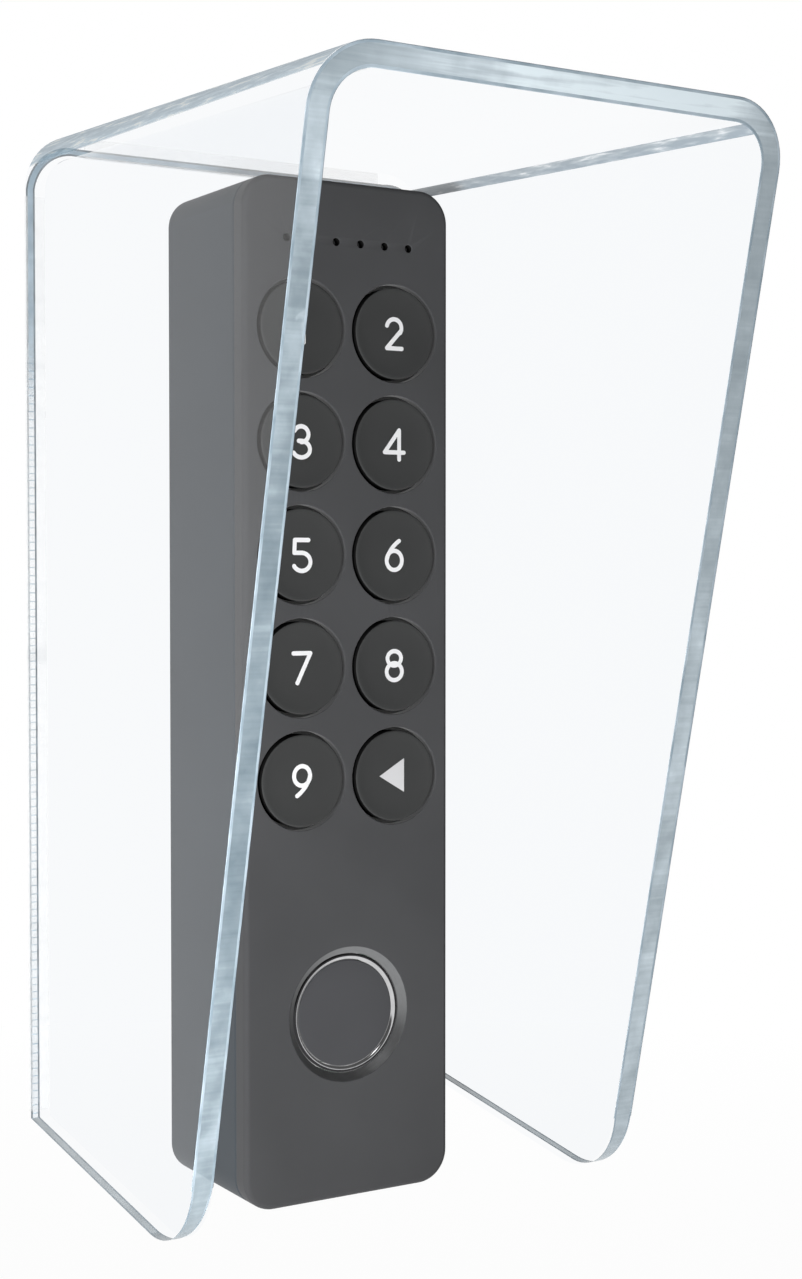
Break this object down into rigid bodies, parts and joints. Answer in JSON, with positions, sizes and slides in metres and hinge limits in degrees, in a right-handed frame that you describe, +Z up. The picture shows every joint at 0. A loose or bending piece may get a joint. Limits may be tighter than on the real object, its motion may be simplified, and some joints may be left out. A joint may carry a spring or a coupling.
{
  "type": "keypad rain cover with its door keypad",
  "caption": "Clear heat-bent rain hood over a slim wall-mounted door keypad with sprung keys and a fingerprint sensor; the keypad lifts off its wall plate.",
  "frame": {"origin": "on the wall plane, on the centre line of the hood, level with the lower rear corners of the hood", "axes": "+X to the right as seen from the front, +Y into the wall, +Z up; the keys face -Y"},
  "size_m": [0.066, 0.083, 0.1491],
  "materials": {
    "clear_acrylic": "clear, polished faces and laser-cut edges",
    "clear_tape": "clear double-sided tape",
    "foam_pad": "closed-cell adhesive foam",
    "plate_plastic": "fine matt moulded",
    "housing_plastic": "fine matt moulded",
    "key_plastic": "matt moulded, printed legend",
    "silicone": "matt silicone",
    "board": "solder mask",
    "spring_metal": "plated sheet",
    "component_black": "moulded component",
    "clear_plastic": "clear moulded",
    "sensor_face": "satin coated",
    "bezel_metal": "dark polished metal",
    "cell_sleeve": "plain printed sleeve",
    "screw_steel": "zinc plated"
  },
  "bodies": {
    "wall_side": {"rain_hood": "clear_acrylic", "hood_tape_left": "clear_tape", "hood_tape_right": "clear_tape", "hood_tape_top": "clear_tape", "wall_plate": "plate_plastic", "wall_plate_pad": "foam_pad"},
    "keypad": {"front_cover": "housing_plastic", "rear_case": "housing_plastic", "case_gasket": "silicone", "key_mat": "silicone", "circuit_board": "board", "contact_domes": "spring_metal", "radio_module": "spring_metal", "buzzer": "component_black", "status_leds": "clear_plastic", "light_guide": "clear_plastic", "fingerprint_sensor": "sensor_face", "sensor_bezel": "bezel_metal", "sensor_board": "board", "sensor_connector": "component_black", "battery_cell_1": "cell_sleeve", "battery_cell_2": "cell_sleeve", "battery_cell_3": "cell_sleeve", "battery_cell_4": "cell_sleeve", "battery_contact_lower": "spring_metal", "battery_contact_middle": "spring_metal", "battery_contact_upper": "spring_metal", "battery_cover": "plate_plastic", "case_screws": "screw_steel"},
    "key_1": {"keycap_1": "key_plastic"},
    "key_2": {"keycap_2": "key_plastic"},
    "key_3": {"keycap_3": "key_plastic"},
    "key_4": {"keycap_4": "key_plastic"},
    "key_5": {"keycap_5": "key_plastic"},
    "key_6": {"keycap_6": "key_plastic"},
    "key_7": {"keycap_7": "key_plastic"},
    "key_8": {"keycap_8": "key_plastic"},
    "key_9": {"keycap_9": "key_plastic"},
    "key_arrow": {"keycap_arrow": "key_plastic"}
  },
  "joints": [
    {"name": "keypad_lift", "type": "slide", "parent": "wall_side", "child": "keypad", "axis": [0, 0, 1], "range_m": [0, 0.0022]},
    {"name": "key_1_press", "type": "slide", "parent": "keypad", "child": "key_1", "axis": [0, 1, 0], "range_m": [0, 0.0004], "stiffness_N_per_m": 1500, "springref_m": -0.0002},
    {"name": "key_2_press", "type": "slide", "parent": "keypad", "child": "key_2", "axis": [0, 1, 0], "range_m": [0, 0.0004], "stiffness_N_per_m": 1500, "springref_m": -0.0002},
    {"name": "key_3_press", "type": "slide", "parent": "keypad", "child": "key_3", "axis": [0, 1, 0], "range_m": [0, 0.0004], "stiffness_N_per_m": 1500, "springref_m": -0.0002},
    {"name": "key_4_press", "type": "slide", "parent": "keypad", "child": "key_4", "axis": [0, 1, 0], "range_m": [0, 0.0004], "stiffness_N_per_m": 1500, "springref_m": -0.0002},
    {"name": "key_5_press", "type": "slide", "parent": "keypad", "child": "key_5", "axis": [0, 1, 0], "range_m": [0, 0.0004], "stiffness_N_per_m": 1500, "springref_m": -0.0002},
    {"name": "key_6_press", "type": "slide", "parent": "keypad", "child": "key_6", "axis": [0, 1, 0], "range_m": [0, 0.0004], "stiffness_N_per_m": 1500, "springref_m": -0.0002},
    {"name": "key_7_press", "type": "slide", "parent": "keypad", "child": "key_7", "axis": [0, 1, 0], "range_m": [0, 0.0004], "stiffness_N_per_m": 1500, "springref_m": -0.0002},
    {"name": "key_8_press", "type": "slide", "parent": "keypad", "child": "key_8", "axis": [0, 1, 0], "range_m": [0, 0.0004], "stiffness_N_per_m": 1500, "springref_m": -0.0002},
    {"name": "key_9_press", "type": "slide", "parent": "keypad", "child": "key_9", "axis": [0, 1, 0], "range_m": [0, 0.0004], "stiffness_N_per_m": 1500, "springref_m": -0.0002},
    {"name": "key_arrow_press", "type": "slide", "parent": "keypad", "child": "key_arrow", "axis": [0, 1, 0], "range_m": [0, 0.0004], "stiffness_N_per_m": 1500, "springref_m": -0.0002}
  ]
}
